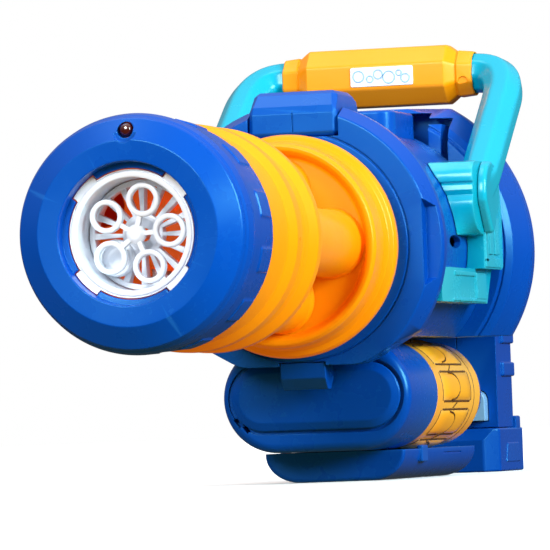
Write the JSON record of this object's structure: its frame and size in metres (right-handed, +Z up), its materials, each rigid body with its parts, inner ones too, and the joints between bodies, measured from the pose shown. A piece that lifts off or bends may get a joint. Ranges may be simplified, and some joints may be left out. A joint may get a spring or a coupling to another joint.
{
  "type": "bubble machine",
  "caption": "Gatling-style toy bubble machine: round muzzle with a spinning ring wand, tube barrel, drum body, carry handle, amber tank and rear trigger grip.",
  "frame": {"origin": "middle of the footprint, on the surface the base tray and the grip foot stand on", "axes": "+Z up, -Y towards the muzzle, +X to the right seen from the front"},
  "size_m": [0.129, 0.5508, 0.1751],
  "materials": {
    "blue_plastic": "glossy moulded",
    "yellow_plastic": "glossy moulded",
    "teal_plastic": "glossy moulded",
    "white_plastic": "satin moulded",
    "amber_plastic": "translucent moulded",
    "pale_blue_plastic": "satin moulded",
    "orange_plastic": "glossy moulded",
    "red_lens": "clear dark red",
    "steel": "drawn",
    "black_plastic": "matt",
    "cell_wrap": "printed film",
    "board_green": "solder mask"
  },
  "bodies": {
    "housing": {"muzzle_bezel": "blue_plastic", "status_lamp": "red_lens", "cartridge_ring": "white_plastic", "air_grille": "white_plastic", "dip_cup": "white_plastic", "wand_motor": "steel", "drive_plate": "orange_plastic", "barrel_collar": "yellow_plastic", "collar_bulkhead": "yellow_plastic", "barrel_tube_right": "yellow_plastic", "barrel_tube_top": "yellow_plastic", "barrel_tube_left": "yellow_plastic", "barrel_tube_bottom": "yellow_plastic", "barrel_dish": "yellow_plastic", "front_flange": "blue_plastic", "top_block": "blue_plastic", "body_shell_right": "blue_plastic", "body_shell_left": "blue_plastic", "rear_flange": "blue_plastic", "rear_cap": "blue_plastic", "tail_shell_right": "blue_plastic", "tail_shell_left": "blue_plastic", "grip_foot": "blue_plastic", "trigger_switch": "black_plastic", "battery_1": "cell_wrap", "battery_2": "cell_wrap", "battery_3": "cell_wrap", "battery_4": "cell_wrap", "battery_contacts": "steel", "tank_front_cap": "blue_plastic", "tank_front_panel": "blue_plastic", "solution_tank": "amber_plastic", "tank_rear_cap": "blue_plastic", "base_tray": "blue_plastic", "carry_handle": "teal_plastic", "grip_front": "yellow_plastic", "grip_rear": "yellow_plastic", "side_bracket_right": "teal_plastic", "side_bracket_left": "teal_plastic", "fan_duct": "white_plastic", "fan_motor": "steel", "pump_body": "white_plastic", "circuit_board": "board_green", "speaker": "black_plastic"},
    "wand": {"bubble_wand": "white_plastic", "wand_shaft": "steel", "wand_gear": "orange_plastic"},
    "pinion": {"motor_pinion": "steel"},
    "fan": {"fan_impeller": "white_plastic"},
    "pump": {"pump_rotor": "black_plastic"},
    "trigger_body": {"trigger": "pale_blue_plastic", "trigger_spring": "steel"},
    "button_body": {"power_button": "blue_plastic"},
    "latch_body": {"tank_latch": "blue_plastic"},
    "door_body": {"battery_door": "blue_plastic"}
  },
  "joints": [
    {"name": "wand_spin", "type": "hinge", "parent": "housing", "child": "wand", "pos_m": [0, -0.26255, 0.0905], "axis": [0, 1, 0], "continuous": true},
    {"name": "pinion_spin", "type": "hinge", "parent": "housing", "child": "pinion", "pos_m": [0, -0.23555, 0.0745], "axis": [0, 1, 0], "continuous": true},
    {"name": "fan_spin", "type": "hinge", "parent": "housing", "child": "fan", "pos_m": [0, -0.00055, 0.0905], "axis": [0, 1, 0], "continuous": true},
    {"name": "pump_spin", "type": "hinge", "parent": "housing", "child": "pump", "pos_m": [0.022, 0.05745, 0.0725], "axis": [0, 1, 0], "continuous": true},
    {"name": "trigger_pull", "type": "slide", "parent": "housing", "child": "trigger_body", "axis": [0, 1, 0], "range_m": [0, 0.004], "stiffness_N_per_m": 400},
    {"name": "button_press", "type": "slide", "parent": "housing", "child": "button_body", "axis": [0, 0, -1], "range_m": [0, 0.0025], "stiffness_N_per_m": 500},
    {"name": "latch_release", "type": "hinge", "parent": "housing", "child": "latch_body", "pos_m": [0, -0.03705, 0.0459], "axis": [-1, 0, 0], "range_deg": [0, 15], "stiffness_Nm_per_rad": 0.05},
    {"name": "battery_door_open", "type": "hinge", "parent": "housing", "child": "door_body", "pos_m": [0, 0.26795, 0.063], "axis": [-1, 0, 0], "range_deg": [0, 100]}
  ],
  "couplings": [
    {"joint": "pinion_spin", "follows": "wand_spin", "ratio": -3}
  ]
}
